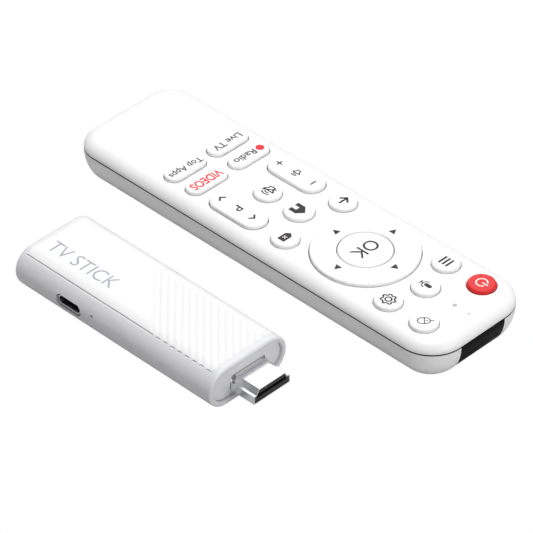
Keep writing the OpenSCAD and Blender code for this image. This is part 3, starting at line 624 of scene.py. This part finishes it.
# Moulded epoxy: charcoal, finely blasted by the mould. Dipped tin: a soft grey shine, faintly streaked.
# Extruded aluminium: duller, drawn along the fins. Zinc-plated screws: bright, with turning marks.
moulded_epoxy = plastic("moulded_epoxy", ("#18181a", "#202022"), 0.6, 0.08, 0.003)
tinned_steel = metal("tinned_steel", ("#b4b6b9", "#c6c8cb"), 0.32, 0.3, 0.001)
extruded_aluminium = metal("extruded_aluminium", ("#b9bbbe", "#cbcdd0"), 0.38, 0.25, 0.003)
zinc_plated_screw = metal("zinc_plated_screw", ("#aeb0b3", "#c2c4c6"), 0.3, 0.1, 0.001, (1, 1, 6))
# Fired ceramic: tan, with a low shine. Silicone pad: dusty blue and dead matt. Acetal: black and waxy.
fired_ceramic = plastic("fired_ceramic", ("#80664a", "#957854"), 0.45, 0.1, 0.002)
soft_pad = plastic("thermal_silicone", ("#7c90b0", "#8da0bd"), 0.8, 0.15, 0.01, ior=1.41)
acetal = plastic("black_acetal", ("#1c1c1d", "#232324"), 0.35, 0.1, 0.001, ior=1.48)
finish(green_board, "stick_board", "remote_board")
finish(moulded_epoxy, "processor_chip", "memory_chips", "reset_switch", "remote_chip")
finish(tinned_steel, "wifi_module", "key_domes")
finish(extruded_aluminium, "heat_sink")
finish(zinc_plated_screw, "stick_screws", "remote_screws")
finish(fired_ceramic, "board_capacitors")
finish(soft_pad, "thermal_pad")
finish(acetal, "reset_plunger")

# ------------------------------------------------------------------------------------------------
# The remote's case: two shells of satin white ABS that clip together. The lower one is shaped like a
# shallow boat, and its lip stands behind the open seam. It holds the battery bay, with a door that
# slides off backwards. The upper one has a soft crown and a chamfered opening for each key.
# ------------------------------------------------------------------------------------------------
TOP_LOW, TOP_HIGH = span("remote_top_shell")
BELLY_LOW, BELLY_HIGH = span("remote_bottom_shell")
REMOTE = TOP_HIGH - TOP_LOW
REMOTE_MID = (TOP_LOW + TOP_HIGH) / 2
FRONT_ROUND, BACK_ROUND = 11.0, 8.6
CROWN_INSET = 4.5
BELLY_INSET = 8.0
SEAM = TOP_LOW.z - 0.25
SEAM_EASE = 0.04
# The seam stands open a little wider than the shells' nominal faces.
SEAM_OPEN = 0.12
CASE_WALL = 1.6
CEILING = TOP_HIGH.z - 1.2
FLOOR = 1.4
LIP_ROOT = SEAM - 1.6
LAMP_HOLE, MIC_HOLE = 1.3, 0.5


def remote_form(z, inset, steps, facing=UPRIGHT):
    """A solid with the remote's plan, drawn in by an inset and grown up or down from a height."""
    return turned((REMOTE_MID.x, REMOTE_MID.y, z), (REMOTE.x - 2 * inset, REMOTE.y - 2 * inset),
                  (FRONT_ROUND - inset, BACK_ROUND - inset), steps, facing, segments=20)


def key_hole(x, y, length, width, corner, flare=0.14):
    """Tool for an opening in the crown, with a small chamfer at the top."""
    return turned((x, y, CEILING - 1), (length, width), (corner, corner),
                  [(0, TOP_HIGH.z - CEILING + 1 - flare), (-flare / 2, flare / 2), (-flare / 1.5, flare / 2),
                   (0, 1)], segments=14)


ROUND_KEYS = ["power_key", "mouse_key", "menu_key", "settings_key", "voice_key", "back_key", "delete_key",
              "home_key", "mute_key"]
LONG_KEYS = ["volume_rocker", "channel_rocker", "app_key_1", "app_key_2", "app_key_3", "app_key_4"]
FLANGE = 0.8  # how far a round key's flange reaches out under the crown
KEY_GAP = 0.25


def key_cap(node):
    """Centre, length and width of a key's cap, without the flange that hides under the crown."""
    low, high = span(node)
    edge = 2 * FLANGE if node in ROUND_KEYS else 0
    return (low + high) / 2, high.x - low.x - edge, high.y - low.y - edge


openings = []
for node in ROUND_KEYS + LONG_KEYS + ["dpad_ring"]:
    mid, length, width = key_cap(node)
    length, width = length + 2 * KEY_GAP, width + 2 * KEY_GAP
    openings.append(key_hole(mid.x, mid.y, length, width, min(length, width) / 2))
lamp_low, lamp_high = span("indicator_led")
mic_low, mic_high = span("microphone")
for low, high, hole in ((lamp_low, lamp_high, LAMP_HOLE), (mic_low, mic_high, MIC_HOLE)):
    openings.append(key_hole((low.x + high.x) / 2, REMOTE_MID.y, hole, hole, hole / 2, 0.05))
hollow = remote_form(SEAM - 1, CASE_WALL, [(0, 1.55)] + rounding(2.2, CEILING - SEAM - 0.55, 8))
crown = cut(remote_form(TOP_LOW.z + SEAM_OPEN, SEAM_EASE, [(-SEAM_EASE, SEAM_EASE)]
                        + rounding(CROWN_INSET, REMOTE.z - SEAM_EASE - SEAM_OPEN, 18)), [hollow, *openings])
# Satin ABS again, with the finest spark finish: near white, with a broad soft shine.
satin_abs_remote = plastic("satin_abs_remote", ("#f3f3f3", "#f8f8f8"), 0.38, 0.25, 0.003)
piece("remote_crown", crown, "remote", satin_abs_remote, ["remote_top_shell"])

DOOR_LOW, DOOR_HIGH = span("battery_door")
DOOR_GAP = 0.15
WINDOW_LOW, WINDOW_HIGH = span("ir_window")
BAY_X0, BAY_X1 = span("battery_contacts")[0].x, span("battery_contacts")[1].x
BAY_HALF = 11.1
BAY_WALL, BAY_WALL_OUT, BAY_TOP = 1.2, 11.6, 10.5
PILLAR_D, PILLAR_FOOT, PILLAR_TALL = 4, 3.2, 8.6


def belly_form(inset=0.0, start=SEAM, above=0.0, floor=0.0, draw=BELLY_INSET):
    """The boat-shaped belly, drawn in by an inset, from a height above its start down to a floor."""
    return remote_form(start + above, inset, [(0, above)] * (above > 0) + rounding(draw, start - floor, 20),
                       UNDERSIDE)


def window_run(gap, depth=12):
    """Outline of the infrared window, rounded below and open to the seam, pushed out of the front."""
    half = (WINDOW_HIGH.y - WINDOW_LOW.y) / 2 + gap
    low = WINDOW_LOW.z - gap
    tall = 2 * (SEAM + 1 - low)
    run = turned((TOP_HIGH.x - depth, REMOTE_MID.y, low + tall / 2), (2 * half, tall), (4, 4),
                 [(0, depth + 2)], ALONG_X)
    return cut(run, [brick((0, 0, SEAM + 1), (100, 60, 60))])


def door_run(gap, height):
    """The block that the door fills, open to the back."""
    return brick((DOOR_LOW.x - 5, DOOR_LOW.y - gap, -1), (DOOR_HIGH.x + gap, DOOR_HIGH.y + gap, height))


belly_blank = remote_form(SEAM - SEAM_OPEN, SEAM_EASE, [(-SEAM_EASE, SEAM_EASE)]
                          + rounding(BELLY_INSET, SEAM - SEAM_OPEN - SEAM_EASE, 20), UNDERSIDE)
belly = cut(belly_blank, [
    belly_form(CASE_WALL, LIP_ROOT, SEAM + 1 - LIP_ROOT, FLOOR, BELLY_INSET - 1.8),
    window_run(0.05), door_run(DOOR_GAP, DOOR_HIGH.z + DOOR_GAP),
    brick((BAY_X0, REMOTE_MID.y - BAY_HALF, -1), (BAY_X1, REMOTE_MID.y + BAY_HALF, FLOOR + 1))])
lip = cut(remote_form(LIP_ROOT + 0.2, CASE_WALL - 0.02, [(0, SEAM - 0.3 - LIP_ROOT), (0.12, 0), (0, 1.1)]),
          [remote_form(LIP_ROOT - 1, CASE_WALL + 0.7, [(0, 5)]),
           brick((TOP_HIGH.x - 8, WINDOW_LOW.y - 0.5, 0), (TOP_HIGH.x + 1, WINDOW_HIGH.y + 0.5, 20))])
bay_walls = [brick((BAY_X0 - BAY_WALL, REMOTE_MID.y + side * BAY_WALL_OUT - 0.5, 0.9),
                   (BAY_X1 + BAY_WALL, REMOTE_MID.y + side * BAY_WALL_OUT + 0.5, BAY_TOP))
             for side in (1, -1)]
bay_walls += [brick((x, REMOTE_MID.y - BAY_WALL_OUT, 1.2),
                    (x + BAY_WALL, REMOTE_MID.y + BAY_WALL_OUT, BAY_TOP))
              for x in (BAY_X0 - BAY_WALL, BAY_X1)]
nut_low, nut_high = span("remote_screws")
pillars = [turned((x, y, PILLAR_FOOT), (PILLAR_D, PILLAR_D), (PILLAR_D / 2,) * 2, [(0, PILLAR_TALL)],
                  segments=8)
           for x in (nut_low.x + SCREW_HEAD_R, nut_high.x - SCREW_HEAD_R)
           for y in (nut_low.y + SCREW_HEAD_R, nut_high.y - SCREW_HEAD_R)]
piece("remote_belly", joined(belly, *bay_walls, *pillars), "remote", satin_abs_remote,
      ["remote_bottom_shell"])
# Painted shade: a soft dark strip sits on the belly's lip and fills the open seam, and the lip itself is made
# in the same dark rubber, so that the seam reads as a dark line. The dark colour stands in for the shade
# inside the gap.
painted_seam_shade_rubber = plastic("painted_seam_shade_rubber", ("#1f1f20", "#262627"), 0.8, 0.15, 0.004, ior=1.45)
seam_shade_strip = cut(remote_form(SEAM - 0.15, 0.07, [(0, 0.55)]),
             [remote_form(SEAM - 1, CASE_WALL + 0.3, [(0, 3)]),
              brick((TOP_HIGH.x - 8, WINDOW_LOW.y - 0.05, 0), (TOP_HIGH.x + 1, WINDOW_HIGH.y + 0.05, 20))])
piece("seam_painted_shade", joined(lip, seam_shade_strip), "remote", painted_seam_shade_rubber)

GRIPS, GRIP_PITCH, GRIP_FIRST = 5, 1.8, 11.6
GRIP_WIDE, GRIP_LONG = 0.9, 12
grips = [turned((DOOR_HIGH.x - GRIP_FIRST + i * GRIP_PITCH, REMOTE_MID.y, -1), (GRIP_WIDE, GRIP_LONG),
                (GRIP_WIDE / 2,) * 2, [(0, 1.3)], segments=5) for i in range(GRIPS)]
door = cut(cut(belly_form(), [door_run(0, DOOR_HIGH.z)], "INTERSECT"), grips)
piece("battery_lid", door, "battery_door", satin_abs_remote, ["battery_door"])

# ------------------------------------------------------------------------------------------------
# The infrared end: a window of dyed polycarbonate, bent like the case round it, in front of a 5 mm
# lamp of tinted epoxy. The indicator is a small grey light pipe in the crown.
# ------------------------------------------------------------------------------------------------
WINDOW_T = 1.2
window = cut(cut(belly_form(), [window_run(0)], "INTERSECT"), [belly_form(WINDOW_T, SEAM, 1, WINDOW_T / 2)])
# Polished polycarbonate, dyed until it looks black: a clear hard reflection over a dead black body.
gloss_black = plastic("gloss_black_polycarbonate", ("#020203", "#040405"), 0.08, 0.4, 0.0005, ior=1.13)
piece("infrared_window", window, "remote", gloss_black, ["ir_window"])
# Tinted epoxy, cast: a smoky violet gloss. The light pipe is moulded acrylic, smooth and grey.
tinted_epoxy = plastic("tinted_epoxy", ("#2a2730", "#34303a"), 0.15, 0.3, 0.0005, ior=1.55)
finish(tinted_epoxy, "ir_led")
grey_pipe = plastic("grey_light_pipe", ("#acacae", "#b6b6b8"), 0.3, 0.2, 0.0005, ior=1.49)
finish(grey_pipe, "indicator_led")
finish(gold_contact, "microphone")

# ------------------------------------------------------------------------------------------------
# Behind the keys: a grey silicone mat over snap domes on the board, and a soft carrier under the
# D-pad. The batteries are two AAA cells in foil jackets, between nickel-plated plates and springs.
# ------------------------------------------------------------------------------------------------
# Moulded silicone: mid grey, soft and dusty. The plates and springs have nickel's warm shine.
grey_silicone = plastic("grey_silicone", ("#98989a", "#a4a4a6"), 0.75, 0.12, 0.006, ior=1.41)
spring_steel = metal("nickel_plated_spring", ("#c3c5c8", "#d6d8da"), 0.2, 0.05, 0.0005)
finish(grey_silicone, "key_mat", "dpad_pad")
finish(spring_steel, "battery_contacts", "battery_springs")

# Lacquered foil, shrunk on: blue with a gold band, and bare metal at both ends of a cell.
jacket = bpy.data.materials.new("foil_jacket")
jacket.use_nodes = True
jacket_tree = jacket.node_tree
jacket_shader = jacket_tree.nodes["Principled BSDF"]
jacket_shader.inputs["Roughness"].default_value = 0.28
along_cell = add(jacket_tree, "SeparateXYZ", {"Vector": add(jacket_tree, "TexCoord").outputs["Object"]})
cell_low, cell_high = span("batteries")
along = add(jacket_tree, "MapRange", {"Value": along_cell.outputs["X"], "From Min": cell_low.x * MM,
                                      "From Max": cell_high.x * MM})
bands = add(jacket_tree, "ValToRGB", {"Fac": along.outputs["Result"]})
bands.color_ramp.interpolation = "CONSTANT"
for end in bands.color_ramp.elements:
    end.color = linear("#b9bbbe")
bands.color_ramp.elements[1].position = 0.95
for where, shade in ((0.05, "#2c3f5c"), (0.42, "#c8a24e"), (0.58, "#2c3f5c")):
    bands.color_ramp.elements.new(where).color = linear(shade)
jacket_tree.links.new(bands.outputs["Color"], jacket_shader.inputs["Base Color"])
finish(jacket, "batteries")

# ------------------------------------------------------------------------------------------------
# The keys: white ABS caps with a fine matt face, eased along the top. A round one has a flange under
# the crown that keeps it in. The power key is red. The D-pad is a ring that tips, with OK inside it.
# ------------------------------------------------------------------------------------------------
CAP_TOP = span("power_key")[1].z
FLANGE_Z = span("power_key")[0].z
FLANGE_T = 0.35
EASE = 0.5
DRAFT, DRAFT_RISE = 0.05, 0.3
FULL_ROUND = (20, 20)  # more than half of any key's width, so that its ends come out as half circles
# Spark-finished ABS, matt and bright. The red is moulded through, not painted.
matt_abs_keys = plastic("matt_abs_keys", ("#f5f5f5", "#fafafa"), 0.5, 0.2, 0.003)
red_abs_key = plastic("red_abs_key", ("#de0c14", "#e4121a"), 0.45, 0.2, 0.003)

for node in ROUND_KEYS + LONG_KEYS + ["ok_key"]:
    mid, length, width = key_cap(node)
    edge, flange = (FLANGE, [(0, FLANGE_T), (FLANGE, 0)]) if node in ROUND_KEYS else (0, [])
    rise = CAP_TOP - FLANGE_Z - EASE - DRAFT_RISE - (FLANGE_T if flange else 0)
    cap = turned((mid.x, mid.y, FLANGE_Z), (length + 2 * edge, width + 2 * edge), FULL_ROUND,
                 flange + [(0, rise), (DRAFT, DRAFT_RISE)] + rounding(EASE, EASE, 7), segments=24)
    red = node == "power_key"
    piece(node + "_cap", cap, node,
          red_abs_key if red else matt_abs_keys, [node])

RING_DISH = 0.08  # how far the ring's face falls towards its middle
ring_low, ring_high = span("dpad_ring")
pad_mid, ring_d, _ = key_cap("dpad_ring")
ok_d = key_cap("ok_key")[1]
ring_hole = ok_d + 2 * KEY_GAP
ring = turned((pad_mid.x, pad_mid.y, ring_low.z), (ring_d, ring_d), FULL_ROUND,
              [(0, CAP_TOP - ring_low.z - EASE)] + rounding(EASE, EASE, 7) + [(1.5, -RING_DISH)], segments=40)
ring = cut(ring, [turned((pad_mid.x, pad_mid.y, ring_low.z - 1), (ring_hole, ring_hole), FULL_ROUND,
                         [(0, CAP_TOP - ring_low.z + 0.7), (-0.12, 0.1), (-0.12, 0.06), (0, 1)],
                         segments=32)])
piece("dpad_ring_cap", ring, "dpad_ring", matt_abs_keys, ["dpad_ring"])

# ------------------------------------------------------------------------------------------------
# The signs on the keys: pad-printed films of dark grey, mid grey, red and white ink. Each is drawn
# flat, with its right along +X and its top along +Y, and then laid on its key.
# ------------------------------------------------------------------------------------------------
STROKE = 0.5
dark_ink = ink("dark_grey_ink", "#1c1c1e")
mid_ink = ink("mid_grey_ink", "#4c4c50")
red_ink = ink("red_ink", "#e6121f")
white_ink = ink("white_ink", "#fbf0f0")


def bar(x0, y0, x1, y1, width=STROKE):
    """A straight stroke between two points."""
    bm = bmesh.new()
    run = Vector((x1 - x0, y1 - y0, 0))
    bmesh.ops.create_grid(bm, x_segments=1, y_segments=1, size=0.5)
    bmesh.ops.scale(bm, vec=(run.length, width, 1), verts=bm.verts)
    bmesh.ops.rotate(bm, matrix=Matrix.Rotation(math.atan2(run.y, run.x), 3, "Z"), verts=bm.verts)
    bmesh.ops.translate(bm, vec=((x0 + x1) / 2, (y0 + y1) / 2, 0), verts=bm.verts)
    return bm


def arc(x, y, radius, start, sweep, width=STROKE):
    """A curved stroke round a centre, its angles in degrees."""
    bm = bmesh.new()
    turn = Matrix.Rotation(math.radians(start), 3, "Z")
    ends = [bm.verts.new(Vector((x, y, 0)) + turn @ Vector((radius + s * width / 2, 0, 0))) for s in (1, -1)]
    edge = bm.edges.new(ends)
    bmesh.ops.spin(bm, geom=[*ends, edge], cent=(x, y, 0), axis=(0, 0, 1), dvec=(0, 0, 0),
                   angle=math.radians(sweep), steps=max(8, round(sweep / 9)), use_merge=sweep == 360)
    return bm


def patch(*corners):
    """A filled outline with straight sides."""
    bm = bmesh.new()
    bm.faces.new([bm.verts.new((x, y, 0)) for x, y in corners])
    return bm


def moved(bm, x, y, turn=0.0):
    """Turn a mark in degrees and move it."""
    bmesh.ops.rotate(bm, matrix=Matrix.Rotation(math.radians(turn), 3, "Z"), verts=bm.verts)
    bmesh.ops.translate(bm, vec=(x, y, 0), verts=bm.verts)
    return bm


def speaker(size, width, waves=2):
    """A loudspeaker drawn in outline, with its sound going to the right."""
    box = [(-1.0, -0.45), (-0.5, -0.45), (0.05, -1.0), (0.05, 1.0), (-0.5, 0.45), (-1.0, 0.45)]
    marks = [bar(a[0] * size, a[1] * size, b[0] * size, b[1] * size, width)
             for a, b in zip(box, box[1:] + box[:1])]
    return marks + [arc(0, 0, size * (0.55 + 0.45 * i), -48, 96, width) for i in range(waves)]


def gear(radius, teeth, width):
    """A gear wheel in outline: a wavy rim of flat teeth, and a round eye."""
    marks = [arc(0, 0, radius * 0.42, 0, 360, width)]
    pitch, valley = 360 / teeth, radius * 0.76
    for i in range(teeth):
        at = i * pitch
        marks += [arc(0, 0, radius, at - pitch * 0.2, pitch * 0.4, width),
                  arc(0, 0, valley, at + pitch * 0.3, pitch * 0.4, width)]
        for side in (1, -1):
            tip, root = math.radians(at + side * pitch * 0.2), math.radians(at + side * pitch * 0.3)
            marks.append(bar(radius * math.cos(tip), radius * math.sin(tip),
                             valley * math.cos(root), valley * math.sin(root), width))
    return marks


def sign(node, marks, material=None, x=0.0, y=0.0, name="sign", z=0.0):
    """Print marks on a key, moved from its middle towards +X and +Y."""
    mid, _, _ = key_cap(node)
    printed(f"{node}_{name}", marks, (mid.x + x, mid.y + y, CAP_TOP + z), node,
            material or dark_ink)


sign("power_key", [arc(0, 0, 1.65, 115, 310, 0.42), bar(0, 0.2, 0, 2.2, 0.42)], white_ink)
sign("menu_key", [bar(-1.75, y, 1.75, y, 0.66) for y in (-1.29, 0, 1.29)])
sign("settings_key", gear(2.2, 7, 0.46))
sign("voice_key", [bar(0, 0, 0, 1.3, 1.3), moved(arc(0, 0, 0.33, 0, 180, 0.64), 0, 1.3),
                   moved(arc(0, 0, 0.33, 180, 180, 0.64), 0, 0), arc(0, 0.1, 1.35, 180, 180, 0.36),
                   bar(0, -1.2, 0, -2.0, 0.36), bar(-0.8, -2.0, 0.8, -2.0, 0.36)], y=0.2)
sign("mouse_key", [moved(m, 0, 0, 45) for m in (
    arc(0, 0.45, 1.25, 0, 180, 0.34), arc(0, -0.6, 1.25, 180, 180, 0.34), bar(1.25, -0.6, 1.25, 0.45, 0.34),
    bar(-1.25, -0.6, -1.25, 0.45, 0.34), bar(-1.25, 0.1, 1.25, 0.1, 0.34), bar(0, 0.6, 0, 1.1, 0.34),
    bar(0, 1.7, 0, 2.8, 0.34))], mid_ink)
sign("back_key", [bar(-1.5, 0, 1.65, 0, 0.66), bar(-1.8, 0.15, -0.15, -1.55, 0.66),
                  bar(-1.8, -0.15, -0.15, 1.55, 0.66)])
sign("delete_key", [patch((-2.35, 0), (-1.3, 1.25), (2.0, 1.25), (2.0, -1.25), (-1.3, -1.25))])
sign("delete_key", [bar(-0.35, -0.55, 0.75, 0.55, 0.26), bar(-0.35, 0.55, 0.75, -0.55, 0.26)],
     white_ink, name="cross", z=INK)
sign("home_key", [patch((-2.1, -2.35), (-0.7, -2.35), (-0.7, -0.55), (-2.1, -0.55)),
                  patch((0.7, -2.35), (2.1, -2.35), (2.1, -0.55), (0.7, -0.55)),
                  patch((-2.1, -0.55), (2.1, -0.55), (2.1, 0.45), (0, 2.35), (-2.1, 0.45))])
sign("mute_key", speaker(1.9, 0.44) + [bar(-1.7, 1.7, 0.8, -1.9, 0.44)], y=0.3)
sign("ok_key", [word("OK", 8.8, 4.5, 0.004)])
ARROW_R = 11.6  # how far the arrows stand from the D-pad's middle
for i, way in enumerate(("front", "right", "back", "left")):
    sign("dpad_ring", [moved(moved(patch((-1.15, -1.0), (1.15, -1.0), (0, 1.1)), 0, ARROW_R), 0, 0, -90 * i)],
         name="arrow_" + way, z=-RING_DISH)
sign("volume_rocker", [bar(-1.1, 0, 1.1, 0, 0.44), bar(0, -1.1, 0, 1.1, 0.44)], x=-6.9, name="plus")
sign("volume_rocker", speaker(1.35, 0.36), x=-0.2, name="speaker")
sign("volume_rocker", [bar(-1.1, 0, 1.1, 0, 0.5)], x=6.6, name="minus")
for x, way, name in ((-7.0, -1, "down"), (5.7, 1, "up")):
    sign("channel_rocker", [bar(-s * 1.25, -way * 0.6, s * 0.18, way * 0.66, 0.58) for s in (1, -1)],
         x=x, name=name)
sign("channel_rocker", [word("P", 2.1, 2.8, 0.014)], x=-0.3, name="letter")
sign("app_key_1", [arc(-4.6, 0, 0.65, 0, 360, 1.3)], red_ink, name="dot")
sign("app_key_1", [moved(word("Radio", 8.0, 2.5, 0.014), 1.4, 0)], name="word")
sign("app_key_2", [word("VIDEOS", 11.6, 3.2, 0.022)], red_ink, name="word")
sign("app_key_3", [word("Live TV", 10.6, 2.5, 0.014)], name="word")
sign("app_key_4", [word("Top Apps", 12.4, 3.0, 0.014)], name="word")
